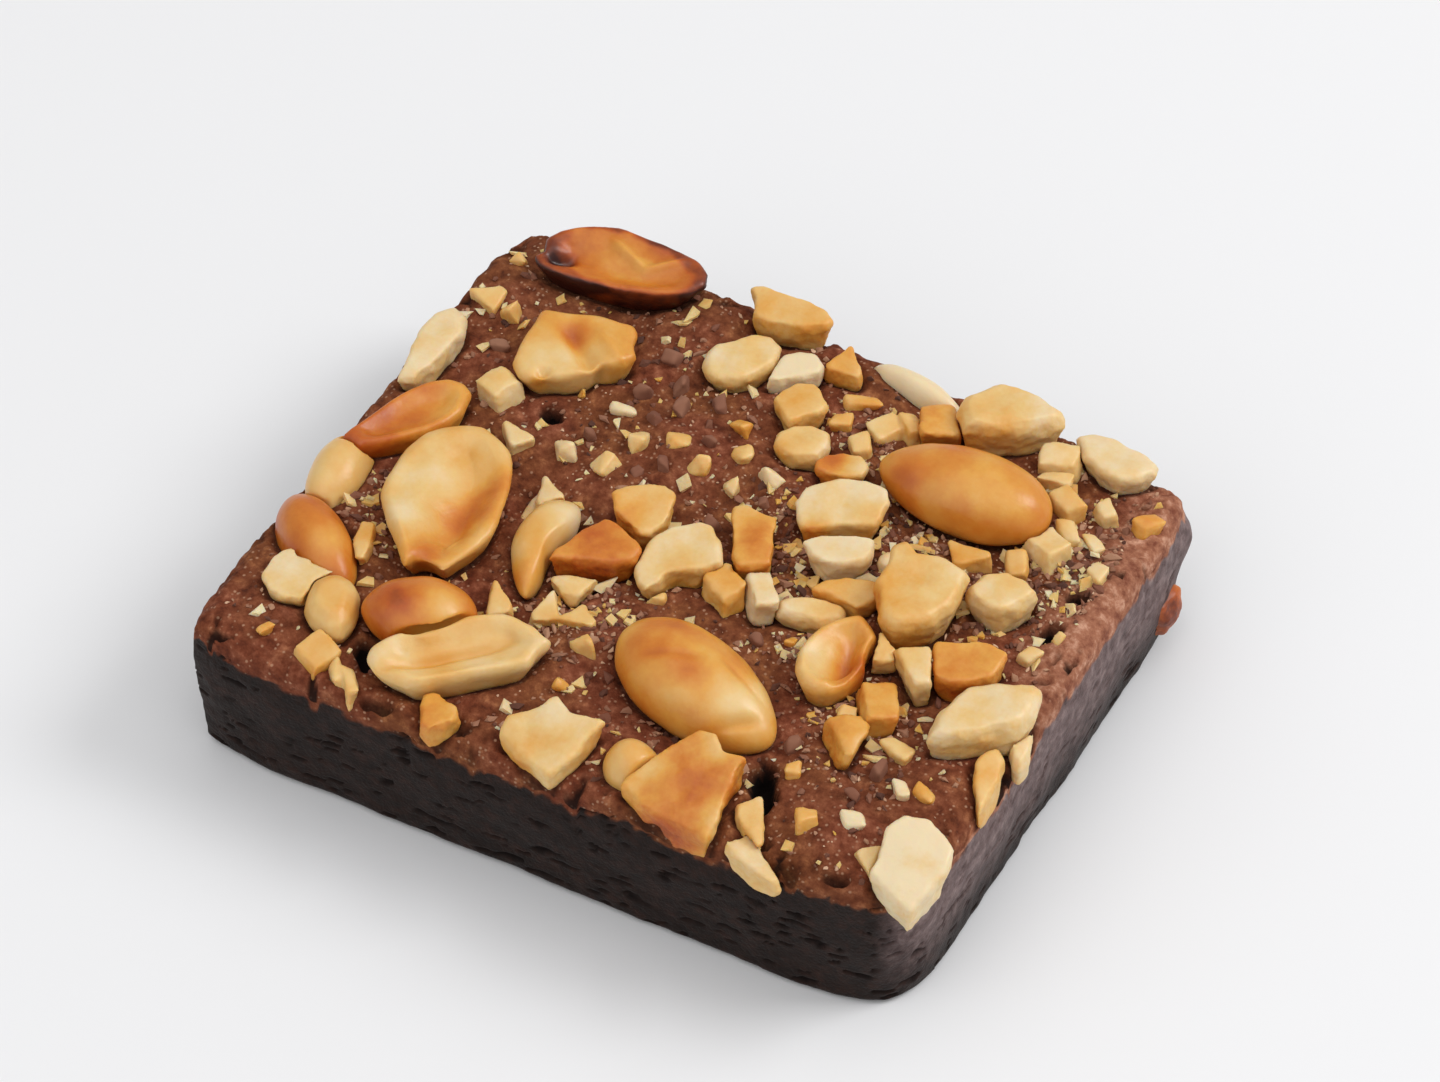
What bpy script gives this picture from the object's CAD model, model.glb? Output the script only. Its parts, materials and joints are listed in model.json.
"""Dresses the peanut brownie: baked crust, dark cut sides, roasted peanuts, chips, crumbs and nut dust.

Sizes are millimetres in the part's frame, apart from the lamps and the floor, which are in metres: the
origin is the middle of the underside, +X runs along the front edge, +Y to the back and +Z up.
"""

import json
import math
import random
from collections import namedtuple

import bmesh
import bpy
from mathutils import Matrix, Vector, noise
from mathutils.bvhtree import BVHTree


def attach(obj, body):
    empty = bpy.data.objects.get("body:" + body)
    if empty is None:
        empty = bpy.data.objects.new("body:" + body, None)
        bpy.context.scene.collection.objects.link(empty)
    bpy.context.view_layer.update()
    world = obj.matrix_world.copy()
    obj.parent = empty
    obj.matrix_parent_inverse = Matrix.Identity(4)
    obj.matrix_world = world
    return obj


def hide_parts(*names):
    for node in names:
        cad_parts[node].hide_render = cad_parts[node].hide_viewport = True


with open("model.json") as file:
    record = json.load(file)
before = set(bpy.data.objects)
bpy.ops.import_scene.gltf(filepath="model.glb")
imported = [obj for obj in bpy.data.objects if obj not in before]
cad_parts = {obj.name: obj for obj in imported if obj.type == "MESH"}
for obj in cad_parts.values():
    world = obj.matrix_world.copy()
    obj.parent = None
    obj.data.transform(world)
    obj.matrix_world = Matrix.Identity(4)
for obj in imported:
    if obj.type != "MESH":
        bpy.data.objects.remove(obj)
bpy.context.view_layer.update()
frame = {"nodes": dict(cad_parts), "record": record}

MM = 0.001
NODES = sorted(frame["nodes"])
SLOTS = {part["node"]: part["material_slot"] for part in frame["record"]["subparts"]}

# Camera: the photograph's lens, distance and angle, with its length and shift in the photograph's pixels
PHOTO_WIDTH = 1440
AZIMUTH = math.radians(28.93)
ELEVATION = math.radians(47.75)
DISTANCE = 434.0
FOCAL_PIXELS = 4808.0
CENTRE_SHIFT = (22.4, 7.5)
SENSOR = 36.0
NEAREST_SEEN = 10.0

# Studio: lamps with their place and size in metres and their power in watts, a pale surround and a floor
Lamp = namedtuple("Lamp", "name place size power")
LAMPS = (
    Lamp("window", (0.64, 0.42, 0.72), 0.45, 5.0),
    Lamp("ceiling", (0.1, -0.1, 1.1), 1.3, 4.6),
    Lamp("fill", (-0.3, -0.7, 0.6), 0.9, 2.0),
)
SURROUND_COLOUR = "#F5F5F6"
SURROUND_STRENGTH = 0.5
FLOOR_COLOUR = "#E8E8E9"
FLOOR_ROUGHNESS = 0.8
FLOOR_REACH = 3

# Waves of relief or browning: their height, their length and the layer of the noise they are read from.
# The noise that bends cavities and pores follows the clock unless it is seeded.
Wave = namedtuple("Wave", "height length layer")
NOISE_SEED = 5

# The block, as the solid has it
SLAB_HEIGHT = 16.0
SLAB_CORNERS = {
    (-1, -1): (-36.2, -30.8),
    (1, -1): (35.8, -28.4),
    (1, 1): (36.6, 29.0),
    (-1, 1): (-35.6, 29.8),
}
CORNER_CUTS = {(-1, -1): 0.035, (1, -1): 0.065, (1, 1): 0.035, (-1, 1): 0.045}
CORNER_SHARPNESS = 12
TOP_EDGE_ROUND = 1.8
CRUST_SWELL = Wave(0.45, 8.0, 0)
Mound = namedtuple("Mound", "x y radius rise")
MOUNDS = (
    Mound(-13.0, 26.0, 6.0, 1.3),
    Mound(-29.0, 24.0, 7.0, 0.7),
    Mound(-5.0, 12.0, 9.0, 0.8),
    Mound(1.0, 27.0, 4.0, 0.8),
    Mound(-4.0, -15.0, 6.0, 0.5),
    Mound(26.0, -20.0, 8.0, 0.8),
    Mound(-30.0, -25.0, 5.0, 0.5),
    Mound(-16.0, -2.0, 4.0, -0.8),
    Mound(33.0, 24.0, 6.0, -0.8),
)
Pit = namedtuple("Pit", "x y heading across along depth")
PITS = (
    Pit(18.4, -21.4, -62, 5.6, 2.4, 3.0),
    Pit(-19.8, 8.0, 0, 2.4, 2.0, 2.0),
    Pit(32.6, 11.4, 40, 2.2, 1.6, 1.8),
    Pit(32.4, 6.2, 70, 2.8, 1.8, 2.0),
    Pit(-19.6, -25.2, -40, 4.0, 2.2, 2.2),
    Pit(28.5, -27.6, 10, 2.8, 1.0, 0.9),
    Pit(24.6, -28.4, -10, 2.2, 0.8, 0.8),
    Pit(-16.0, -29.4, 5, 4.0, 1.0, 0.9),
)

# The crust's mesh: its cells, and how much closer they lie towards the edges
TOP_CELLS = (236, 196)
EDGE_CROWDING = 0.3

# What the oven adds to the crust: lumps, bumps and grains, and cracks between plates in some patches
OVEN_RELIEF = (Wave(0.6, 5.0, 7), Wave(0.16, 1.8, 3), Wave(0.07, 0.7, 1))
CRACK_DEPTH = 0.3
CRACK_WIDTH = (0.02, 0.12)
CRACKED_PLATE = 5.5
CRACKED_PATCH = Wave(1.0, 7.0, 20)
CRACKED_SPAN = (0.0, 0.3)

# Holes of the crust, and the dark sunken moat that the batter leaves round each nut
PIT_RAGS = Wave(0.35, 1.2, 5)
PIT_WALL = (0.55, 1.15)
PIT_DARK_DEPTH = 1.2
MOAT_WIDTH = 0.9
MOAT_DEPTH = 0.5
MOAT_SHADE = 0.75

# The rim of the crust, which broke raggedly under the knife and shows small cavities in places
RIM_BAND = (0.8, 3.2)
RIM_RAGS = Wave(0.45, 1.3, 0)
RIM_CRUMBS = Wave(0.2, 0.6, 9)
RIM_BROKEN = Wave(1.0, 6.0, 60)
RIM_BROKEN_SPAN = (-0.1, 0.25)
RIM_WANDER = Wave(1.0, 2.5, 3)
CAVITY = Wave(1.0, 1.5, 40)
CAVITY_SPAN = (0.22, 0.4)
CAVITY_DEPTH = 0.7
CAVITY_SHADE = 0.9

# Where the crust is pinker and the side paler, because they met the tin: along x, y and the height
TIN_TOP_X = (29.5, 35.0)
TIN_TOP_Y = (-12, 6)
TIN_SIDE_X = (32.0, 35.0)
TIN_SIDE_HEIGHT = (1, 11)

# The sides: how they swell and draw in from top to foot, and their unevenness
SIDE_RINGS = 60
SIDE_SWELLING = 0.2
SIDE_DRAWN_IN = 0.5
SWELLING_END = 0.2
SIDE_SWELL = Wave(0.3, 6.0, 0)
SIDE_GRAIN = Wave(0.1, 1.3, 0)
FOOT_ROUND = 1.0
FOOT_CURVE = 0.8
Lump = namedtuple("Lump", "x y z radius rise")
SIDE_LUMPS = (
    Lump(36.8, 27.6, 10.0, 2.6, 1.3),
    Lump(36.4, 24.0, 5.5, 2.4, 0.4),
    Lump(36.0, 19.0, 6.0, 4.0, 0.5),
    Lump(36.0, 8.0, 5.0, 5.0, 0.4),
    Lump(36.0, -2.0, 4.0, 3.0, 0.3),
)

# Pores of the cut crumb, long and flat: the tin's side has fewer
PORE_LENGTH = 2.3
PORE_HEIGHT = 0.45
PORE_DEPTH = 0.35
PORE_SPAN = (0.35, 0.48)
PORE_WANDER = 0.6
POROUS_PATCH = Wave(1.0, 5.0, 0)
POROUS_SPAN = (-0.5, 0.1)
TIN_SMOOTHNESS = 0.7
SIDE_WANDER = 3.0

# How far the crust's colour reaches down the sides, with a frayed edge
CRUST_EDGE = 0.8
THINNEST_EDGE = 0.1
EDGE_FADE = (0.6, 1.1)
EDGE_FRAYS = Wave(0.9, 1.1, 0)
EDGE_SWAYS = Wave(1.1, 4.5, 0)

# The skin of a nut: the size of its faces, which edges stay sharp, and how it is smoothed, which is done
# once on a piece that is worn past BROKEN_WEAR
VOXEL = 0.21
FLAT = 0.05
SHARP = math.radians(55)
SHARP_BREAK = math.radians(14)
CREASE = 0.9
SMOOTHING = 0.5
WHOLE_NUT_PASSES = 4
BROKEN_WEAR = 0.5

# How rough each kind of piece is, from its name: whole and halved nuts are smooth, broken pieces are not
WEAR = {"kernel": 0.0, "dome": 0.0, "strip": 0.0, "split": 0.3}
FLAT_WEAR = 0.25
SKIN_WAVE = Wave(0.1, 2.4, 0)
FLAKE_HEIGHT = 0.34
FLAKE_LENGTH = 1.7
BREAK_GRAIN = Wave(0.12, 0.8, 0)
GRAIN_GAIN = 1.2
NEXT_NUT = Vector((7.3, 3.1, 0))

# How far each finish is roasted, from cream at 0 to burnt at 1, and how that varies on a nut
ROAST = {"nut_pale": 0.27, "nut_golden": 0.46, "nut_toasted": 0.56, "nut_dark": 0.66}
NUT_VARIETY = 0.06
NUT_VARIETY_STEP = 2.7
ROAST_PATCHES = Wave(0.15, 3.4, 0)
ROAST_SPECKS = Wave(0.05, 1.1, 0)
PALER_TOP = 0.08
PALER_RIM = 0.05

# Pieces that are browner or paler than their finish
TONE_SHIFT = {
    "chunk_orange": 0.16,
    "split_edge": 0.18,
    "split_groove": 0.11,
    "dome_small": 0.08,
    "dome_left": 0.06,
    "split_left": 0.06,
    "chunk_triangle": 0.06,
    "kernel_back": 0.05,
    "cube_low": -0.06,
    "stick_middle": -0.06,
    "chunk_back_pale": -0.06,
    "dome_edge": -0.09,
    "chunk_edge": -0.09,
    "cube_tall": -0.1,
    "hang_lower": -0.1,
    "bean_back": -0.11,
    "split_front": -0.11,
    "flake_back": -0.13,
    "dome_curl": -0.15,
    "chunk_back": -0.15,
    "chunk_front": -0.16,
    "double_back": -0.16,
    "chunk_corner": -0.17,
    "pale_back_small": -0.2,
    "twin_lower": -0.23,
    "strip_back": -0.3,
}

# Places where a nut is browner or paler than the rest of it
Spot = namedtuple("Spot", "node x y radius change")
SPOTS = (
    Spot("kernel_front", 5.0, -15.5, 7.0, 0.1),
    Spot("kernel_front", 4.6, -12.6, 1.6, 0.16),
    Spot("kernel_front", 8.3, -16.4, 1.6, 0.1),
    Spot("kernel_front", 11.0, -13.8, 1.2, 0.1),
    Spot("kernel_front", 13.8, -16.8, 3.0, -0.26),
    Spot("kernel_front", 15.2, -20.6, 1.4, 0.2),
    Spot("kernel_back", 14.0, 12.6, 3.4, 0.04),
    Spot("kernel_back", 20.0, 14.0, 9.0, -0.07),
    Spot("kernel_back", 24.0, 16.0, 4.0, -0.1),
    Spot("kernel_left", -20.4, -20.6, 3.4, 0.08),
    Spot("kernel_left", -14.0, -20.8, 2.6, -0.26),
    Spot("dome_curl", -11.6, -11.4, 2.8, 0.12),
    Spot("dome_curl", -10.6, -3.4, 3.0, -0.2),
    Spot("dome_left", -33.0, -14.0, 3.0, 0.02),
    Spot("dome_left", -27.6, -18.0, 4.0, -0.16),
    Spot("dome_edge", -33.6, -9.0, 6.0, -0.12),
    Spot("split_left", -24.6, -5.5, 3.4, -0.16),
    Spot("split_left", -23.8, -11.0, 3.0, -0.16),
    Spot("split_left", -19.0, -7.0, 3.0, 0.1),
    Spot("split_left", -19.8, -14.6, 1.8, 0.22),
    Spot("split_front", -12.6, -21.0, 2.8, 0.16),
    Spot("split_front", -9.0, -19.6, 2.6, 0.1),
    Spot("split_front", -11.0, -25.4, 2.0, 0.14),
    Spot("split_edge", -32.6, -3.0, 3.0, 0.1),
    Spot("split_edge", -28.6, 4.0, 3.0, -0.14),
    Spot("split_cup", -21.9, 15.6, 1.9, 0.28),
    Spot("split_cup", -20.0, 13.6, 5.0, -0.14),
    Spot("split_cup", -23.0, 11.6, 4.4, -0.2),
    Spot("split_cup", -21.8, 9.2, 1.0, 0.24),
    Spot("split_right", 20.2, -7.0, 2.0, 0.24),
    Spot("split_right", 15.6, -8.0, 2.4, -0.26),
    Spot("chunk_triangle", 13.6, -26.4, 4.0, 0.18),
    Spot("chunk_triangle", 14.4, -21.6, 2.4, -0.26),
    Spot("chunk_triangle", 18.0, -27.6, 2.2, -0.34),
    Spot("chunk_triangle", 9.6, -25.6, 2.2, -0.24),
    Spot("chunk_front", -1.6, -28.4, 2.2, 0.06),
    Spot("chunk_front", 0.4, -25.0, 3.6, -0.1),
    Spot("chunk_corner", 30.0, -23.0, 4.0, -0.1),
    Spot("chunk_orange", -6.6, -5.6, 3.0, 0.08),
    Spot("chunk_flat", 2.0, -4.0, 2.4, 0.12),
    Spot("chunk_flat", -0.6, -6.0, 2.0, 0.12),
    Spot("chunk_back", 21.6, 27.0, 2.4, -0.2),
    Spot("cube_middle", -4.0, -0.6, 4.0, -0.16),
    Spot("cube_middle", -6.8, -1.4, 2.2, 0.16),
    Spot("stick_middle", 4.4, 1.8, 2.0, 0.1),
    Spot("stick_middle", 7.4, 3.0, 2.0, -0.26),
    Spot("twin_upper", 8.8, 4.9, 1.6, 0.4),
    Spot("twin_upper", 13.0, 8.0, 2.4, 0.16),
    Spot("twin_lower", 13.0, 4.0, 2.4, 0.1),
    Spot("cap_raised", 18.6, -0.6, 2.6, 0.2),
    Spot("cap_raised", 22.6, 3.0, 3.6, -0.12),
    Spot("lump_right", 28.0, -10.0, 2.4, 0.12),
    Spot("wedge_right", 28.2, -4.2, 2.8, 0.12),
    Spot("two_tone_back", 9.0, 14.4, 2.0, -0.4),
    Spot("two_tone_back", 6.2, 14.0, 2.0, 0.12),
    Spot("rust_side", 36.0, 22.0, 6.0, 0.14),
)

# Grooves pressed into a nut from above: their middle, heading, half length, half width, depth and tint.
# One with a negative depth is a ridge.
Groove = namedtuple("Groove", "node x y heading length width depth tint")
GROOVES = (
    Groove("kernel_front", 14.0, -18.8, 40, 2.0, 0.5, 0.6, 0.16),
    Groove("kernel_front", 12.8, -14.9, -17, 2.6, 0.3, 0.18, 0.1),
    Groove("kernel_front", 6.0, -16.0, 20, 3.0, 0.4, 0.12, 0.05),
    Groove("kernel_back", 14.0, 13.4, -10, 3.0, 0.5, 0.1, 0.04),
    Groove("split_left", -19.4, -8.8, -84, 6.4, 2.3, 1.2, 0.16),
    Groove("split_left", -23.8, -8.0, -80, 7.0, 2.0, -0.6, -0.06),
    Groove("split_front", -12.4, -23.8, 43, 6.0, 0.6, 0.7, 0.14),
    Groove("split_right", 18.8, -7.4, -76, 3.0, 1.1, 0.8, 0.16),
    Groove("split_cup", -20.4, 14.4, -36, 3.0, 0.9, 0.9, 0.16),
    Groove("split_cup", -17.8, 15.8, -30, 2.6, 0.7, -0.4, 0.0),
    Groove("split_cup", -21.8, 9.6, -70, 1.2, 0.6, 0.8, 0.1),
    Groove("split_dark", -22.4, 27.2, -20, 2.4, 0.45, -0.5, -0.08),
    Groove("split_dark", -18.6, 27.4, 37, 2.0, 0.45, -0.5, -0.08),
    Groove("split_dark", -28.0, 24.0, 29, 1.4, 0.7, 0.9, 0.3),
    Groove("chunk_back", 20.0, 24.4, 20, 3.0, 0.5, 0.3, 0.0),
)

# The over-roasted half: where its outer skin, its rim and its hollow lie, and how far each is roasted
BURN_WAVE = Wave(0.12, 1.5, 0)
OUTER_SKIN = (0.2, 0.75)
BURNT_RIM = (0.76, 0.94)
CARAMEL_HOLLOW = (0.1, 0.7)
SKIN_BURN = 0.26
RIM_BURN = 0.2
HOLLOW_PALER = 0.14

# Small pieces set in the crust: their skin, wear and roast, and the share of crumbs that batter coats
STANDS_ABOVE = 0.3
FOOT_DEPTH = 1.0
FEWEST_FACES = 6
CHIP_VOXEL = 0.18
CHIP_WEAR = 0.7
CHIP_ROASTS = (0.12, 0.24, 0.34, 0.44)
LARGE_CHIP = 4.0
LARGE_CHIP_ROASTS = (0.22, 0.28, 0.34, 0.4)
CRUMB_LIMIT = 2.9
CRUMB_ROAST = 0.7
COATED_SHARE = 0.7
CHIP_SEED = 21
Chip = namedtuple("Chip", "shape roast grain")

# Loose bits on the crust: how many, their sizes, how flat, how browned and how unlike each other
Litter = namedtuple("Litter", "count small large flat roast spread seed")
LITTER = {
    "nut_granules": Litter(700, 0.4, 1.5, 0.36, 0.2, 0.2, 3),
    "brown_dust": Litter(1300, 0.16, 0.5, 0.5, 0.15, 0.15, 5),
    "brown_crumbs": Litter(2600, 0.3, 1.0, 0.7, 0.65, 0.35, 9),
}
# The middles of the drifts that gather most of the loose bits
DRIFTS = (
    (8, 19), (28, 19), (31, 13), (8, 0), (15, 3), (5, 5), (14, 11),
    (21, 8), (27, 8), (-6, -12), (22, -12), (-26, -9), (12, -22), (16, -6),
)
DRIFT_REACH = 3.0
DRIFT_SHARE = 0.65
STREWN_SHARE = 0.97
LITTER_LIMITS = (34.2, 27.6)
BIT_CLEARANCE = 0.45
DARKEST_BED = 0.6

# The shape of a loose bit: a chipped cube if its kind grows coarse, or else a rounder crumb
COARSE = 1.0
CUBE_SHARE = 0.75
BIT_TILT = 0.9
BIT_STRETCH = (0.5, 1.6)
BIT_TAPER = 0.7
BIT_JITTER = (0.6, 1.25)
BIT_LIFT = 0.12


def linear(hex_colour):
    """A linear colour from an sRGB hex value."""
    channels = [int(hex_colour[i : i + 2], 16) / 255 for i in (1, 3, 5)]
    return (*(c / 12.92 if c <= 0.04045 else ((c + 0.055) / 1.055) ** 2.4 for c in channels), 1)


def per_mm(size):
    """The scale that draws a texture's features at a size in millimetres."""
    return 1 / (size * MM)


def smooth_step(value, low, high):
    """0 below low, 1 above high, and an even curve between."""
    share = min(max((value - low) / (high - low), 0), 1)
    return share * share * (3 - 2 * share)


def ripple(wave, x, y, z=0):
    """The height of a wave at one place."""
    return wave.height * noise.noise(Vector((x, y, z + wave.layer)) / wave.length)


def add(tree, kind, sockets, stops=(), **settings):
    """Adds a node with its settings, and gives each socket a value or a link."""
    node = tree.nodes.new(kind)
    for name, value in settings.items():
        setattr(node, name, value)
    for socket, value in sockets.items():
        if isinstance(value, bpy.types.NodeSocket):
            tree.links.new(value, node.inputs[socket])
        else:
            node.inputs[socket].default_value = value
    for number, (place, colour) in enumerate(stops):
        elements = node.color_ramp.elements
        element = elements[number] if number < 2 else elements.new(place)
        element.position = place
        element.color = linear(colour)
    return node


def new_material(name):
    """A named material, its node tree and its shader."""
    made = bpy.data.materials.new(name)
    made.use_nodes = True
    return made, made.node_tree, made.node_tree.nodes["Principled BSDF"]


def nut_colour(tree, mottle, fine, roast, grain):
    """The nut's browning at each point, uneven from broad mottling and, where it is broken, fine specks."""
    uneven = add(tree, "ShaderNodeMath", {0: mottle, 1: 0.26, 2: -0.13}, operation="MULTIPLY_ADD").outputs[0]
    patchy = add(tree, "ShaderNodeMath", {0: uneven, 1: roast}, operation="ADD").outputs[0]
    speck = add(tree, "ShaderNodeMath", {0: fine, 1: 0.5}, operation="SUBTRACT").outputs[0]
    weight = add(tree, "ShaderNodeMath", {0: grain, 1: 0.18, 2: 0.06}, operation="MULTIPLY_ADD").outputs[0]
    browning = add(
        tree, "ShaderNodeMath", {0: speck, 1: weight, 2: patchy}, operation="MULTIPLY_ADD"
    ).outputs[0]
    return add(
        tree,
        "ShaderNodeValToRGB",
        {"Fac": browning},
        stops=(
            (0.0, "#E3CFA8"),
            (1.0, "#38120A"),
            (0.2, "#DFBA78"),
            (0.4, "#D99D45"),
            (0.56, "#CB7A26"),
            (0.72, "#B25514"),
            (0.86, "#75300E"),
        ),
    ).outputs["Color"]


def roasted_peanut():
    """Blanched and roasted peanut: a smooth oily outside, browned from cream to caramel, granular breaks."""
    material, tree, shader = new_material("roasted_peanut")
    place = add(tree, "ShaderNodeTexCoord", {}).outputs["Object"]
    roast = add(tree, "ShaderNodeAttribute", {}, attribute_name="roast").outputs["Fac"]
    grain = add(tree, "ShaderNodeAttribute", {}, attribute_name="grain").outputs["Fac"]
    mottle = add(
        tree, "ShaderNodeTexNoise", {"Vector": place, "Scale": per_mm(2.2), "Detail": 5.0}
    ).outputs["Fac"]
    fine = add(
        tree, "ShaderNodeTexNoise", {"Vector": place, "Scale": per_mm(0.45), "Detail": 4.0}
    ).outputs["Fac"]
    tree.links.new(nut_colour(tree, mottle, fine, roast, grain), shader.inputs["Base Color"])
    dull = add(tree, "ShaderNodeMath", {0: grain, 1: 0.2, 2: 0.33}, operation="MULTIPLY_ADD").outputs[0]
    tree.links.new(dull, shader.inputs["Roughness"])
    relief = add(tree, "ShaderNodeMath", {0: grain, 1: 0.3, 2: 0.14}, operation="MULTIPLY_ADD").outputs[0]
    bump = add(tree, "ShaderNodeBump", {"Height": fine, "Strength": relief, "Distance": 0.2 * MM})
    tree.links.new(bump.outputs["Normal"], shader.inputs["Normal"])
    shader.inputs["IOR"].default_value = 1.47
    shader.inputs["Specular IOR Level"].default_value = 0.5
    shader.inputs["Subsurface Weight"].default_value = 0.45
    shader.inputs["Subsurface Radius"].default_value = (1.0, 0.5, 0.2)
    shader.inputs["Subsurface Scale"].default_value = 1.0 * MM
    return material


def crust_colour(tree, place, mottle, tin):
    """The dry top: mottled brown that turns redder in patches, with pale flecks, pinker by the tin."""
    broad = add(tree, "ShaderNodeTexNoise", {"Vector": place, "Scale": per_mm(9.0), "Detail": 3.0})
    brown = add(
        tree,
        "ShaderNodeValToRGB",
        {"Fac": mottle},
        stops=((0.3, "#4C2514"), (0.72, "#A1683F"), (0.44, "#69381F"), (0.56, "#7B472A")),
    ).outputs["Color"]
    red = add(
        tree,
        "ShaderNodeValToRGB",
        {"Fac": mottle},
        stops=((0.3, "#4E2213"), (0.72, "#A86C4F"), (0.46, "#6E3722"), (0.58, "#834A33")),
    ).outputs["Color"]
    shift = add(
        tree, "ShaderNodeMapRange", {"Value": broad.outputs["Fac"], "From Min": 0.4, "From Max": 0.6}
    ).outputs["Result"]
    top = add(tree, "ShaderNodeMix", {0: shift, 6: brown, 7: red}, data_type="RGBA").outputs[2]
    # Nut flour and sugar catch the light as pale flecks a quarter of a millimetre across
    flecks = add(tree, "ShaderNodeTexVoronoi", {"Vector": place, "Scale": per_mm(0.42), "Randomness": 1.0})
    fleck = add(
        tree,
        "ShaderNodeMapRange",
        {"Value": flecks.outputs["Distance"], "From Min": 0.42, "From Max": 0.2, "To Max": 0.45},
    ).outputs["Result"]
    drawn = add(tree, "ShaderNodeSeparateColor", {"Color": flecks.outputs["Color"]}).outputs["Red"]
    few = add(tree, "ShaderNodeMath", {0: drawn, 1: 0.8}, operation="GREATER_THAN").outputs[0]
    flour = add(tree, "ShaderNodeMath", {0: fleck, 1: few}, operation="MULTIPLY").outputs[0]
    top = add(tree, "ShaderNodeMix", {0: flour, 6: top, 7: linear("#C8A081")}, data_type="RGBA").outputs[2]
    pink = add(
        tree,
        "ShaderNodeValToRGB",
        {"Fac": mottle},
        stops=((0.34, "#7E4735"), (0.68, "#DAAA90"), (0.52, "#AC7459")),
    ).outputs["Color"]
    faded = add(tree, "ShaderNodeMath", {0: tin, 1: 0.75}, operation="MULTIPLY").outputs[0]
    return add(tree, "ShaderNodeMix", {0: faded, 6: top, 7: pink}, data_type="RGBA").outputs[2]


def side_colour(tree, mottle, tin):
    """The cut crumb, moist and nearly black, and the side that met the tin, drier and paler."""
    moist = add(
        tree,
        "ShaderNodeValToRGB",
        {"Fac": mottle},
        stops=((0.3, "#100603"), (0.75, "#321C14"), (0.5, "#1D0F09")),
    ).outputs["Color"]
    dried = add(
        tree,
        "ShaderNodeValToRGB",
        {"Fac": mottle},
        stops=((0.3, "#4A3735"), (0.75, "#94807D"), (0.5, "#6B5755")),
    ).outputs["Color"]
    return add(tree, "ShaderNodeMix", {0: tin, 6: moist, 7: dried}, data_type="RGBA").outputs[2]


def baked_crust():
    """Baked cocoa batter: a dry, dusty, mottled top and a dense, dark crumb where it was cut."""
    material, tree, shader = new_material("baked_brownie")
    place = add(tree, "ShaderNodeTexCoord", {}).outputs["Object"]
    crust = add(tree, "ShaderNodeAttribute", {}, attribute_name="crust").outputs["Fac"]
    hollow = add(tree, "ShaderNodeAttribute", {}, attribute_name="hollow").outputs["Fac"]
    tin = add(tree, "ShaderNodeAttribute", {}, attribute_name="tin").outputs["Fac"]
    mottle = add(
        tree, "ShaderNodeTexNoise", {"Vector": place, "Scale": per_mm(1.3), "Detail": 6.0, "Roughness": 0.65}
    ).outputs["Fac"]
    fine = add(
        tree, "ShaderNodeTexNoise", {"Vector": place, "Scale": per_mm(0.35), "Detail": 4.0}
    ).outputs["Fac"]
    top = crust_colour(tree, place, mottle, tin)
    side = side_colour(tree, mottle, tin)
    skin = add(tree, "ShaderNodeMix", {0: crust, 6: side, 7: top}, data_type="RGBA").outputs[2]
    colour = add(
        tree, "ShaderNodeMix", {0: hollow, 6: skin, 7: linear("#120A08")}, data_type="RGBA"
    ).outputs[2]
    tree.links.new(colour, shader.inputs["Base Color"])
    # The dusty top is rougher than the moist crumb, and the hollows send back hardly any light
    dry = add(tree, "ShaderNodeMath", {0: crust, 1: 0.3, 2: 0.52}, operation="MULTIPLY_ADD").outputs[0]
    rough = add(
        tree, "ShaderNodeMath", {0: hollow, 1: 0.4, 2: dry}, operation="MULTIPLY_ADD", use_clamp=True
    ).outputs[0]
    tree.links.new(rough, shader.inputs["Roughness"])
    height = add(tree, "ShaderNodeMath", {0: mottle, 1: 1.2, 2: fine}, operation="MULTIPLY_ADD").outputs[0]
    strength = add(tree, "ShaderNodeMath", {0: crust, 1: 0.15, 2: 0.4}, operation="MULTIPLY_ADD").outputs[0]
    bump = add(tree, "ShaderNodeBump", {"Height": height, "Strength": strength, "Distance": 0.3 * MM})
    tree.links.new(bump.outputs["Normal"], shader.inputs["Normal"])
    shader.inputs["Specular IOR Level"].default_value = 0.18
    shader.inputs["IOR"].default_value = 1.45
    return material


def brown_crumb():
    """Dry crumbs of the crust, dusty and dull, from nut dust at its palest to the crust's own brown."""
    material, tree, shader = new_material("dry_brownie_crumb")
    roast = add(tree, "ShaderNodeAttribute", {}, attribute_name="roast").outputs["Fac"]
    colour = add(
        tree,
        "ShaderNodeValToRGB",
        {"Fac": roast},
        stops=((0.0, "#D6B191"), (1.0, "#4A2A1E"), (0.35, "#A87C60"), (0.7, "#7A4A36")),
    ).outputs["Color"]
    tree.links.new(colour, shader.inputs["Base Color"])
    shader.inputs["Roughness"].default_value = 0.9
    return material


def matte_board():
    """Pale matte board for the floor: one even tone, with a soft contact shadow and no mirror image."""
    material, _, shader = new_material("pale_floor")
    shader.inputs["Base Color"].default_value = linear(FLOOR_COLOUR)
    shader.inputs["Roughness"].default_value = FLOOR_ROUGHNESS
    return material


def outline(u, v):
    """The point of the block's outline square (u, v), in millimetres, with its corners rounded off."""
    cut = CORNER_CUTS[math.copysign(1, u), math.copysign(1, v)]
    u, v = u * (1 - cut * abs(v) ** CORNER_SHARPNESS), v * (1 - cut * abs(u) ** CORNER_SHARPNESS)
    point = Vector((0, 0))
    for (side, end), corner in SLAB_CORNERS.items():
        point += Vector(corner) * (1 + side * u) * (1 + end * v) / 4
    return point


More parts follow.
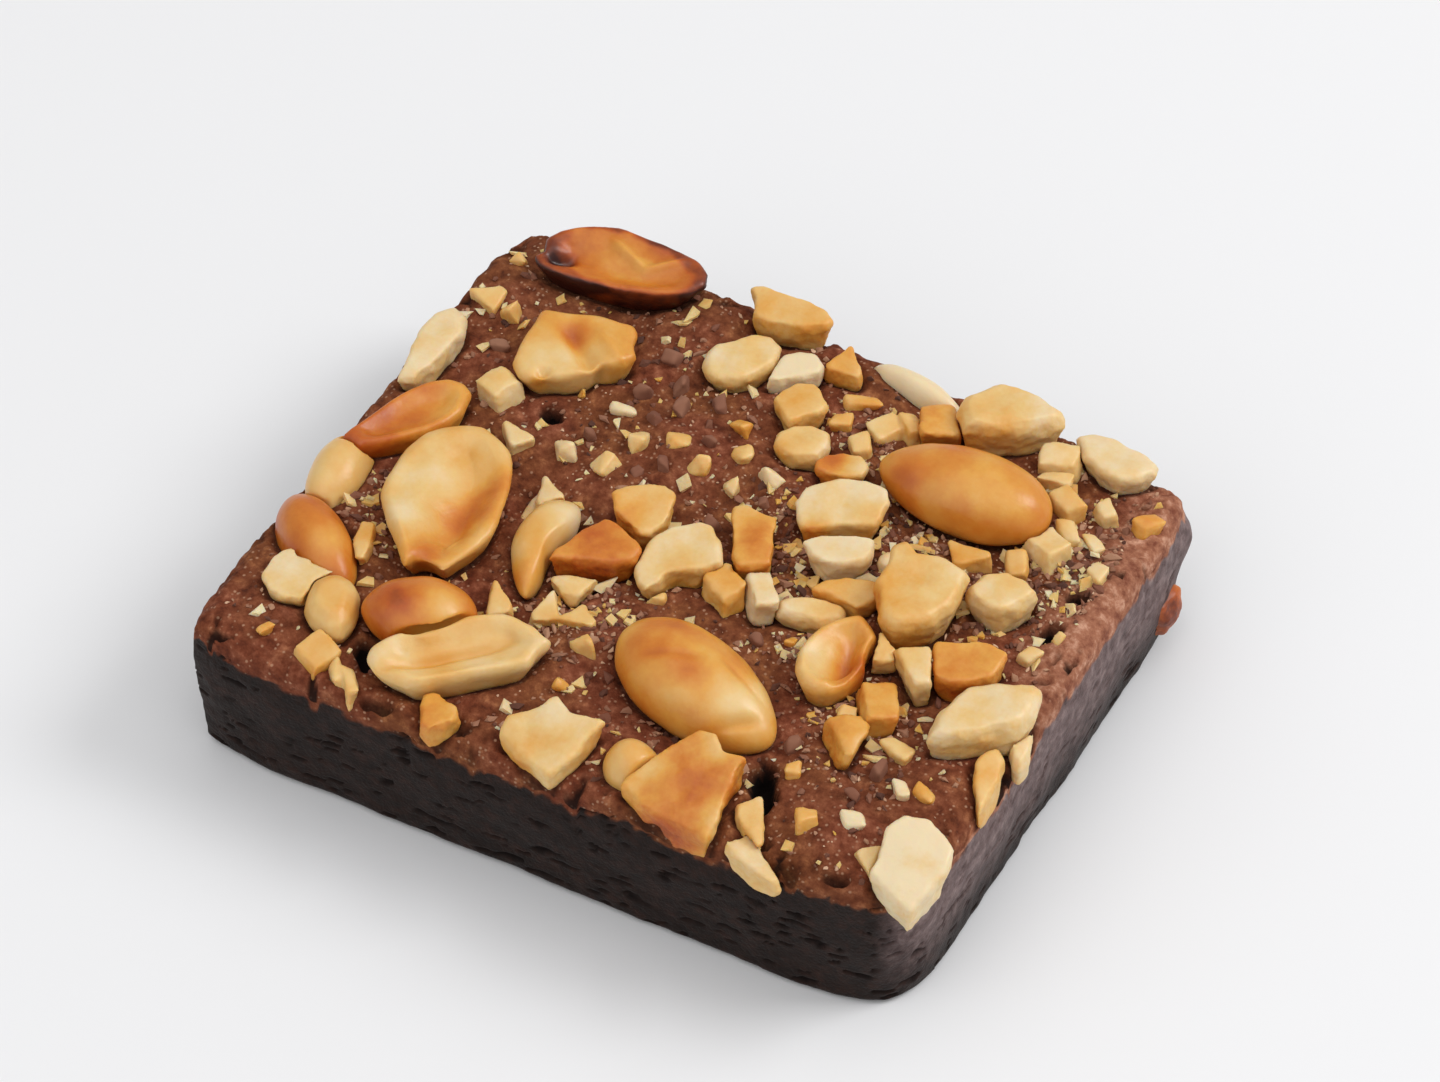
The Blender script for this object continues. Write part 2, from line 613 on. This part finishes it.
def crust_level(x, y):
    """The height of the solid's crust away from its edges, in millimetres."""
    height = SLAB_HEIGHT
    for mound in MOUNDS:
        away = math.hypot(x - mound.x, y - mound.y) / mound.radius
        height += mound.rise * math.exp(-(away**2))
    return height + ripple(CRUST_SWELL, x, y)


def crust_lumps(x, y):
    """What the oven adds to the crust: soft lumps, grains and a few cracks, in millimetres."""
    relief = sum(ripple(wave, x, y) for wave in OVEN_RELIEF)
    near = noise.voronoi(Vector((x, y, 0)) / CRACKED_PLATE)[0]
    open_crack = 1 - smooth_step(near[1] - near[0], *CRACK_WIDTH)
    cracked = smooth_step(ripple(CRACKED_PATCH, x, y), *CRACKED_SPAN)
    return relief - CRACK_DEPTH * open_crack * cracked


def in_pit(x, y):
    """How deep a point is in a hole of the crust, in millimetres."""
    depth = 0
    ragged = 1 + ripple(PIT_RAGS, x, y)
    for pit in PITS:
        turned = Matrix.Rotation(-math.radians(pit.heading), 2) @ Vector((x - pit.x, y - pit.y))
        away = math.hypot(turned.x / (pit.across / 2), turned.y / (pit.along / 2)) / ragged
        depth = max(depth, pit.depth * (1 - smooth_step(away, *PIT_WALL)))
    return depth


def finished(name, bm, material, attributes, smooth=True):
    """Makes a piece from a bmesh in millimetres, riding on the part's one body."""
    for vertex in bm.verts:
        vertex.co *= MM
    for face in bm.faces:
        face.smooth = smooth
    mesh = bpy.data.meshes.new(name)
    bm.to_mesh(mesh)
    bm.free()
    for attribute, values in attributes.items():
        layer = mesh.attributes.new(attribute, "FLOAT", "POINT")
        layer.data.foreach_set("value", values)
    mesh.materials.append(material)
    piece = bpy.data.objects.new(name, mesh)
    bpy.context.scene.collection.objects.link(piece)
    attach(piece, "root")
    return piece


def merged_copy(node):
    """A node's solid in millimetres, welded, with each flat side as one face."""
    bm = bmesh.new()
    bm.from_mesh(frame["nodes"][node].data)
    bmesh.ops.scale(bm, vec=Vector((1, 1, 1)) / MM, verts=bm.verts)
    bmesh.ops.remove_doubles(bm, verts=bm.verts, dist=0.002)
    bmesh.ops.dissolve_limit(bm, angle_limit=FLAT, verts=bm.verts, edges=bm.edges)
    bm.normal_update()
    return bm


def limits(bm):
    """The lowest and highest corner of a bmesh."""
    low = Vector([min(v.co[i] for v in bm.verts) for i in range(3)])
    high = Vector([max(v.co[i] for v in bm.verts) for i in range(3)])
    return low, high


def fine_skin(bm, sharp, voxel):
    """A faceted solid with its blunt edges rounded, as a fine and even skin."""
    creases = bm.edges.layers.float.new("crease_edge")
    for edge in bm.edges:
        if edge.calc_face_angle(0) > sharp:
            edge[creases] = CREASE
    mesh = bpy.data.meshes.new("shaping")
    bm.to_mesh(mesh)
    bm.free()
    holder = bpy.data.objects.new("shaping", mesh)
    bpy.context.scene.collection.objects.link(holder)
    curve = holder.modifiers.new("round", "SUBSURF")
    curve.levels = curve.render_levels = 2
    skin = holder.modifiers.new("skin", "REMESH")
    skin.mode = "VOXEL"
    skin.voxel_size = voxel
    graph = bpy.context.evaluated_depsgraph_get()
    fine = bpy.data.meshes.new_from_object(holder.evaluated_get(graph))
    shape = bmesh.new()
    shape.from_mesh(fine)
    bpy.data.objects.remove(holder)
    bpy.data.meshes.remove(fine)
    bpy.data.meshes.remove(mesh)
    return shape


def rounded(bm, sharp, voxel=VOXEL, passes=1):
    """Turns a faceted solid into a fine skin that fills the same box and keeps its sharp edges."""
    low, high = limits(bm)
    shape = fine_skin(bm, sharp, voxel)
    for _ in range(passes):
        bmesh.ops.smooth_vert(
            shape, verts=shape.verts, factor=SMOOTHING, use_axis_x=True, use_axis_y=True, use_axis_z=True
        )
    soft_low, soft_high = limits(shape)
    for vertex in shape.verts:
        for i in range(3):
            share = (vertex.co[i] - soft_low[i]) / (soft_high[i] - soft_low[i])
            vertex.co[i] = low[i] + share * (high[i] - low[i])
    shape.normal_update()
    return shape


def press_grooves(vertex, grooves):
    """Presses a point of a nut into its grooves, and says how much they stain it."""
    stain = 0
    for groove in grooves:
        away = vertex.co.xy - Vector((groove.x, groove.y))
        turned = Matrix.Rotation(-math.radians(groove.heading), 2) @ away
        press = math.exp(-((turned.x / groove.length) ** 4) - (turned.y / groove.width) ** 2)
        press *= max(0, vertex.normal.z)
        vertex.co.z -= groove.depth * press
        stain += groove.tint * press
    return stain


def spot_change(point, spots):
    """How much browner the spots make a point of a nut."""
    change = 0
    for spot in spots:
        away = math.hypot(point.x - spot.x, point.y - spot.y) / spot.radius
        change += spot.change * math.exp(-(away**2))
    return change


def roast_surface(bm, wear, base, seed, spots=(), grooves=()):
    """Roughens a nut and works out, point by point, how brown it is and where it is broken."""
    roast, grain = [], []
    low, high = limits(bm)
    middle, reach = (low + high) / 2, (high - low) / 2
    for vertex in bm.verts:
        place = vertex.co + seed * NEXT_NUT
        steep = 1 - abs(vertex.normal.z)
        broken = wear * (FLAT_WEAR + (1 - FLAT_WEAR) * steep)
        stain = press_grooves(vertex, grooves)
        flaked = FLAKE_HEIGHT * (noise.voronoi(place / FLAKE_LENGTH)[0][0] - 0.5)
        rough = flaked + ripple(BREAK_GRAIN, *place)
        out = math.hypot((vertex.co.x - middle.x) / reach.x, (vertex.co.y - middle.y) / reach.y)
        vertex.co += vertex.normal * ((1 + wear) * ripple(SKIN_WAVE, *place) + broken * rough)
        brown = base + stain + ripple(ROAST_PATCHES, *place) + wear * ripple(ROAST_SPECKS, *place)
        brown -= wear * (PALER_TOP * vertex.normal.z + PALER_RIM * out)
        roast.append(brown + spot_change(vertex.co, spots))
        grain.append(min(1, broken * GRAIN_GAIN))
    return roast, grain


def burn_rim(bm, roast):
    """The over-roasted half: its skin and rim are burnt nearly black, its hollow is like caramel."""
    low, high = limits(bm)
    middle, reach = (low + high) / 2, (high - low) / 2
    for number, vertex in enumerate(bm.verts):
        away = vertex.co - middle
        out = math.hypot(away.y / reach.y, away.x / reach.x) + ripple(BURN_WAVE, *vertex.co)
        skin = 1 - smooth_step(vertex.normal.z, *OUTER_SKIN)
        roast[number] += RIM_BURN * smooth_step(out, *BURNT_RIM) + SKIN_BURN * skin
        roast[number] -= HOLLOW_PALER * (1 - smooth_step(out, *CARAMEL_HOLLOW))


def dress_nuts(material):
    """Every peanut, half and chip, in the place of its solid."""
    for seed, node in enumerate(NODES):
        if node == "slab":
            continue
        wear = WEAR.get(node.split("_")[0], 1.0)
        passes = 1 if wear > BROKEN_WEAR else WHOLE_NUT_PASSES
        shape = rounded(merged_copy(node), SHARP_BREAK if wear else SHARP, passes=passes)
        base = ROAST[SLOTS[node]] + TONE_SHIFT.get(node, 0) + NUT_VARIETY * math.sin(seed * NUT_VARIETY_STEP)
        spots = [spot for spot in SPOTS if spot.node == node]
        grooves = [groove for groove in GROOVES if groove.node == node]
        roast, grain = roast_surface(shape, wear, base, seed, spots, grooves)
        if node == "split_dark":
            burn_rim(shape, roast)
        piece = finished(f"peanut_{node}", shape, material, {"roast": roast, "grain": grain})
        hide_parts(node)


def raised_islands(slab):
    """The face groups of the block's solid that stand above its crust: set pieces and crumbs."""
    raised = {v for v in slab.verts if v.co.z > crust_level(v.co.x, v.co.y) + STANDS_ABOVE}
    waiting = {face for vertex in raised for face in vertex.link_faces}
    islands = []
    # The faces are taken in the mesh's own order, so the random draws fall on the same chips every time
    for start in slab.faces:
        if start not in waiting:
            continue
        waiting.remove(start)
        island = [start]
        for face in island:
            for near in (near for edge in face.edges for near in edge.link_faces):
                if near in waiting:
                    waiting.remove(near)
                    island.append(near)
        islands.append(island)
    return islands


def standing_part(island):
    """A closed solid of the part of a set piece that stands above the crust, with a foot below it."""
    solid = bmesh.new()
    points = {}
    for face in island:
        for vertex in face.verts:
            if vertex not in points:
                points[vertex] = solid.verts.new(vertex.co)
        solid.faces.new([points[vertex] for vertex in face.verts])
    rim = [edge for edge in solid.edges if edge.is_boundary]
    walls = bmesh.ops.extrude_edge_only(solid, edges=rim)["geom"]
    for vertex in (g for g in walls if isinstance(g, bmesh.types.BMVert)):
        vertex.co.z -= FOOT_DEPTH
    bmesh.ops.holes_fill(solid, edges=solid.edges, sides=0)
    bmesh.ops.recalc_face_normals(solid, faces=solid.faces)
    return solid


def joined(shapes):
    """Several bmeshes as one."""
    whole = bmesh.new()
    for shape in shapes:
        mesh = bpy.data.meshes.new("joining")
        shape.to_mesh(mesh)
        shape.free()
        whole.from_mesh(mesh)
        bpy.data.meshes.remove(mesh)
    return whole


def dress_set_pieces(peanut, crumb):
    """The small pieces that are one with the block: chips of nut, and crumbs with a coat of batter."""
    slab = merged_copy("slab")
    made = {"peanut_chips_set_in_crust": [], "brownie_crumbs_set_in_crust": []}
    draw = random.Random(CHIP_SEED)
    for number, island in enumerate(raised_islands(slab)):
        solid = standing_part(island)
        if len(solid.faces) < FEWEST_FACES:
            solid.free()
            continue
        low, high = limits(solid)
        size = (high - low).xy.length
        base = draw.choice(CHIP_ROASTS if size < LARGE_CHIP else LARGE_CHIP_ROASTS)
        coated = size < CRUMB_LIMIT and draw.random() < COATED_SHARE
        shape = rounded(solid, SHARP_BREAK, voxel=CHIP_VOXEL)
        chip = Chip(shape, *roast_surface(shape, CHIP_WEAR, CRUMB_ROAST if coated else base, number))
        made["brownie_crumbs_set_in_crust" if coated else "peanut_chips_set_in_crust"].append(chip)
    slab.free()
    for name, chips in made.items():
        nut = name.startswith("peanut")
        roast = [tone for chip in chips for tone in chip.roast]
        grain = [share for chip in chips for share in chip.grain]
        whole = joined([chip.shape for chip in chips])
        piece = finished(name, whole, peanut if nut else crumb, {"roast": roast, "grain": grain})


def nuts_tree():
    """All the nut solids as one search tree, in millimetres."""
    nuts = bmesh.new()
    for node in NODES:
        if node != "slab":
            nuts.from_mesh(frame["nodes"][node].data)
    bmesh.ops.scale(nuts, vec=Vector((1, 1, 1)) / MM, verts=nuts.verts)
    tree = BVHTree.FromBMesh(nuts)
    nuts.free()
    return tree


def crust_point(x, y, nuts):
    """The dressed crust at one place: its height, and how dark a hollow it is."""
    level = crust_level(x, y) + crust_lumps(x, y)
    away = nuts.find_nearest(Vector((x, y, level)))[3]
    moat = 1 - smooth_step(away, 0, MOAT_WIDTH)
    deep = in_pit(x, y)
    return level - MOAT_DEPTH * moat - deep, min(1, MOAT_SHADE * moat**2 + deep / PIT_DARK_DEPTH)


def edge_drop(distance):
    """How far the top has rounded down at a distance in from the outline."""
    inside = min(distance, TOP_EDGE_ROUND)
    return TOP_EDGE_ROUND - math.sqrt(TOP_EDGE_ROUND**2 - (TOP_EDGE_ROUND - inside) ** 2)


def rim_relief(x, y, height, distance):
    """How ragged the crust is near the outline, and how deep it is broken into a cavity."""
    rim = 1 - smooth_step(distance, *RIM_BAND)
    ragged = rim * (ripple(RIM_RAGS, x, y, height) + ripple(RIM_CRUMBS, x, y))
    broken = smooth_step(ripple(RIM_BROKEN, x, y), *RIM_BROKEN_SPAN)
    wander = noise.noise_vector(Vector((x, y, RIM_WANDER.layer)) / RIM_WANDER.length)
    place = Vector((x, y, CAVITY.layer)) / CAVITY.length
    return ragged, rim * broken * smooth_step(noise.noise(place + wander), *CAVITY_SPAN)


def shape_crust(bm, layers, nuts):
    """Lays a fine grid over the block as its baked top, and marks how it is coloured."""
    bmesh.ops.create_grid(bm, x_segments=TOP_CELLS[0], y_segments=TOP_CELLS[1], size=1)
    half = Vector(SLAB_CORNERS[(1, 1)])
    for vertex in bm.verts:
        u, v = ((1 + EDGE_CROWDING) * c - EDGE_CROWDING * c**3 for c in vertex.co.xy)
        x, y = outline(u, v)
        distance = min((1 - abs(u)) * half.x, (1 - abs(v)) * half.y)
        height, dark = crust_point(x, y, nuts)
        ragged, cavity = rim_relief(x, y, height, distance)
        vertex.co = (x, y, height - edge_drop(distance) + ragged - CAVITY_DEPTH * cavity)
        layers["crust"][vertex] = 1.0
        layers["hollow"][vertex] = max(dark, CAVITY_SHADE * cavity)
        layers["tin"][vertex] = smooth_step(x, *TIN_TOP_X) * smooth_step(y, *TIN_TOP_Y)


def side_bulge(place, share):
    """How far the side stands out of the outline: full at the top, drawn in below, and uneven."""
    bulge = SIDE_SWELLING * smooth_step(share, 0, SWELLING_END)
    bulge -= SIDE_DRAWN_IN * smooth_step(share, SWELLING_END, 1)
    bulge += ripple(SIDE_SWELL, *place) + ripple(SIDE_GRAIN, *place)
    for lump in SIDE_LUMPS:
        away = (place - Vector((lump.x, lump.y, lump.z))).length / lump.radius
        bulge += lump.rise * math.exp(-(away**2))
    return bulge - FOOT_CURVE * max(0, FOOT_ROUND - place.z) ** 2


def side_pore(place, wander, tin):
    """How deep a point of the side is in one of its pores, from 0 to 1."""
    porous = smooth_step(ripple(POROUS_PATCH, *place), *POROUS_SPAN)
    stretched = Vector((place.x / PORE_LENGTH, place.y / PORE_LENGTH, place.z / PORE_HEIGHT))
    pore = smooth_step(noise.noise(stretched + PORE_WANDER * wander), *PORE_SPAN)
    return porous * (1 - TIN_SMOOTHNESS * tin) * pore


def crust_share(top, place, wander):
    """How much of the crust's colour a point of the side has."""
    frays = EDGE_FRAYS.height * noise.noise(place / EDGE_FRAYS.length + wander)
    edge = max(THINNEST_EDGE, CRUST_EDGE * (1 + frays + ripple(EDGE_SWAYS, top.x, top.y)))
    return 1 - smooth_step(top.z - place.z, *(edge * fade for fade in EDGE_FADE))


def shape_side(vertex, top, share, layers):
    """Puts a point of the side in its place, a share of the way down from the top."""
    place = Vector((top.x, top.y, top.z * (1 - share)))
    outward = Vector((top.x, top.y, 0)).normalized()
    wander = noise.noise_vector(place / SIDE_WANDER)
    tin = smooth_step(top.x, *TIN_SIDE_X) * smooth_step(place.z, *TIN_SIDE_HEIGHT)
    pore = side_pore(place, wander, tin)
    vertex.co = place + outward * (side_bulge(place, share) - PORE_DEPTH * pore)
    layers["crust"][vertex] = crust_share(top, place, wander)
    layers["hollow"][vertex] = pore
    layers["tin"][vertex] = tin


def draw_sides_down(bm, layers):
    """Draws the crust's outline down in rings to the foot, and closes the underside."""
    border = [edge for edge in bm.edges if edge.is_boundary]
    tops = {vertex: vertex.co.copy() for edge in border for vertex in edge.verts}
    for ring in range(1, SIDE_RINGS + 1):
        made = bmesh.ops.extrude_edge_only(bm, edges=border)["geom"]
        border = [g for g in made if isinstance(g, bmesh.types.BMEdge) and g.is_boundary]
        below = {}
        for vertex in (g for g in made if isinstance(g, bmesh.types.BMVert)):
            above = next(e.other_vert(vertex) for e in vertex.link_edges if e.other_vert(vertex) in tops)
            below[vertex] = tops[above]
            shape_side(vertex, tops[above], ring / SIDE_RINGS, layers)
        tops = below
    bmesh.ops.edgeloop_fill(bm, edges=border)
    bmesh.ops.recalc_face_normals(bm, faces=bm.faces)


def dress_slab(material, nuts):
    """The block: a baked crust with lumps, cracks and holes, over cut sides with flattened pores."""
    bm = bmesh.new()
    layers = {"crust": {}, "hollow": {}, "tin": {}}
    shape_crust(bm, layers, nuts)
    draw_sides_down(bm, layers)
    values = {name: [layer[vertex] for vertex in bm.verts] for name, layer in layers.items()}
    piece = finished("brownie_block", bm, material, values)
    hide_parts("slab")


def litter_place(draw):
    """A random place on the block, mostly in one of the drifts."""
    if draw.random() < DRIFT_SHARE:
        return [middle + draw.gauss(0, DRIFT_REACH) for middle in draw.choice(DRIFTS)]
    return outline(draw.uniform(-STREWN_SHARE, STREWN_SHARE), draw.uniform(-STREWN_SHARE, STREWN_SHARE))


def add_bit(whole, draw, litter, size, place):
    """Adds one loose bit, turned, tapered and pressed flat, and says how many points it has."""
    if litter.large > COARSE:
        made = bmesh.ops.create_cube(whole, size=CUBE_SHARE * size)["verts"]
    else:
        made = bmesh.ops.create_icosphere(whole, subdivisions=1, radius=size / 2)["verts"]
    spin = Matrix.Rotation(draw.uniform(0, math.tau), 3, "Z")
    turn = spin @ Matrix.Rotation(draw.uniform(-BIT_TILT, BIT_TILT), 3, "X")
    stretch = draw.uniform(*BIT_STRETCH)
    taper = draw.uniform(-BIT_TAPER, BIT_TAPER)
    for vertex in made:
        vertex.co *= draw.uniform(*BIT_JITTER)
        vertex.co.x *= stretch * (1 + taper * math.copysign(1, vertex.co.y))
        vertex.co.z *= litter.flat
        vertex.co = turn @ vertex.co + place
    return len(made)


def scatter(name, litter, material, nuts):
    """Loose bits lying on the crust, gathered mostly in drifts, in one mesh."""
    draw = random.Random(litter.seed)
    whole = bmesh.new()
    roast = []
    count = 0
    while count < litter.count:
        x, y = litter_place(draw)
        size = litter.small + (litter.large - litter.small) * draw.random() ** 2
        if abs(x) > LITTER_LIMITS[0] or abs(y) > LITTER_LIMITS[1]:
            continue
        level, dark = crust_point(x, y, nuts)
        near = nuts.find_nearest(Vector((x, y, level)))[3]
        if near < size * BIT_CLEARANCE or dark > DARKEST_BED:
            continue
        points = add_bit(whole, draw, litter, size, Vector((x, y, level + size * BIT_LIFT)))
        roast += [litter.roast + draw.uniform(-1, 1) * litter.spread] * points
        count += 1
    layers = {"roast": roast, "grain": [1.0] * len(roast)}
    return finished(name, whole, material, layers, smooth=False)


def lay_floor():
    """A pale floor that reaches past the camera's view."""
    bm = bmesh.new()
    bmesh.ops.create_grid(bm, x_segments=1, y_segments=1, size=FLOOR_REACH)
    mesh = bpy.data.meshes.new("floor")
    bm.to_mesh(mesh)
    bm.free()
    mesh.materials.append(matte_board())
    floor = bpy.data.objects.new("floor", mesh)
    bpy.context.scene.collection.objects.link(floor)


def light_studio(aim):
    """A bright surround and soft lamps, the strongest like a window at the back right."""
    world = bpy.data.worlds.new("surround")
    world.use_nodes = True
    background = world.node_tree.nodes["Background"]
    background.inputs["Color"].default_value = linear(SURROUND_COLOUR)
    background.inputs["Strength"].default_value = SURROUND_STRENGTH
    bpy.context.scene.world = world
    for lamp in LAMPS:
        light = bpy.data.lights.new(lamp.name, "AREA")
        light.size = lamp.size
        light.energy = lamp.power
        holder = bpy.data.objects.new(lamp.name, light)
        holder.location = lamp.place
        holder.rotation_euler = (aim - holder.location).to_track_quat("-Z", "Y").to_euler()
        bpy.context.scene.collection.objects.link(holder)


def place_camera(aim):
    """The camera at the photograph's angle and distance."""
    lens = bpy.data.cameras.new("camera")
    lens.sensor_width = SENSOR
    lens.lens = FOCAL_PIXELS / PHOTO_WIDTH * SENSOR
    lens.shift_x = CENTRE_SHIFT[0] / PHOTO_WIDTH
    lens.shift_y = CENTRE_SHIFT[1] / PHOTO_WIDTH
    lens.clip_start = NEAREST_SEEN * MM
    camera = bpy.data.objects.new("camera", lens)
    flat = math.cos(ELEVATION)
    back = Vector((math.sin(AZIMUTH) * flat, -math.cos(AZIMUTH) * flat, math.sin(ELEVATION)))
    camera.location = aim + back * DISTANCE * MM
    camera.rotation_euler = (-back).to_track_quat("-Z", "Y").to_euler()
    bpy.context.scene.collection.objects.link(camera)
    bpy.context.scene.camera = camera
    # The surfaces' colours are chosen to be shown as they are, so no film curve bends them
    bpy.context.scene.view_settings.view_transform = "Standard"


def main():
    """Sets up the studio, builds the nuts, the block and the loose bits, and notes the sizes."""
    noise.seed_set(NOISE_SEED)
    middle_of_crust = Vector((0, 0, SLAB_HEIGHT)) * MM
    lay_floor()
    light_studio(middle_of_crust)
    place_camera(middle_of_crust)
    peanut = roasted_peanut()
    crumb = brown_crumb()
    dress_nuts(peanut)
    dress_set_pieces(peanut, crumb)
    nuts = nuts_tree()
    dress_slab(baked_crust(), nuts)
    for name, litter in LITTER.items():
        brown = name.startswith("brown")
        piece = scatter(name, litter, crumb if brown else peanut, nuts)


main()
